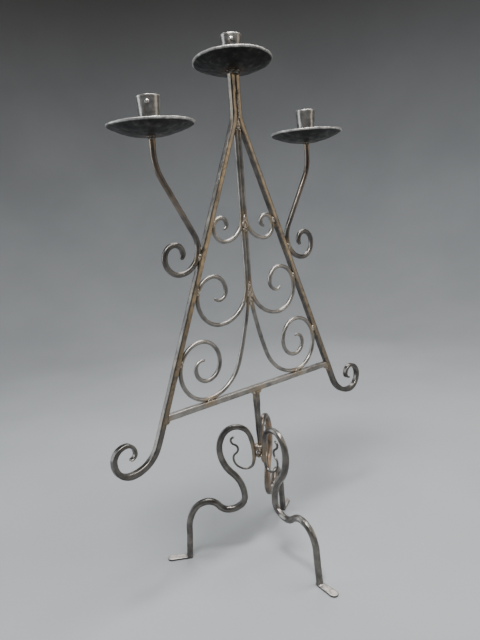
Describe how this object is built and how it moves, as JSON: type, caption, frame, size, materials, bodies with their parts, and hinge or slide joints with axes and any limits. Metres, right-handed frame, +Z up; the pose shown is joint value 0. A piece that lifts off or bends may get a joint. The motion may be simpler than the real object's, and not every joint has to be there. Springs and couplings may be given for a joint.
{
  "type": "candelabra",
  "caption": "Wrought-iron candelabra: a scroll-filled A-frame of square bar on looped legs, with arms and a stem that carry dished drip pans and flared candle cups.",
  "frame": {"origin": "on the floor, under the middle of the whole; the axis of the post and stem is 27.4 mm behind it", "axes": "+X along the frame towards the right arm, +Y to the back of the frame, +Z up"},
  "size_m": [0.4638, 0.2352, 0.7101],
  "materials": {
    "wrought_iron": "waxed, satin",
    "sheet_iron": "waxed, satin",
    "weld_metal": "rough, waxed",
    "rivet_steel": "bright"
  },
  "bodies": {
    "root": {"frame_bar_left": "wrought_iron", "frame_bar_right": "wrought_iron", "cross_bar": "wrought_iron", "post": "wrought_iron", "arm_left": "wrought_iron", "arm_right": "wrought_iron", "leg_left": "wrought_iron", "leg_front": "wrought_iron", "leg_back": "wrought_iron", "top_scroll_left": "wrought_iron", "top_scroll_right": "wrought_iron", "middle_scroll_left": "wrought_iron", "middle_scroll_right": "wrought_iron", "bottom_scroll_left": "wrought_iron", "bottom_scroll_right": "wrought_iron", "drip_pan_left": "sheet_iron", "drip_pan_top": "sheet_iron", "drip_pan_right": "sheet_iron", "candle_cup_left": "sheet_iron", "candle_cup_top": "sheet_iron", "candle_cup_right": "sheet_iron", "frame_welds": "weld_metal", "scroll_welds": "weld_metal", "arm_welds": "weld_metal", "pan_welds": "weld_metal", "leg_welds": "weld_metal", "cup_rivets": "rivet_steel"}
  },
  "joints": []
}
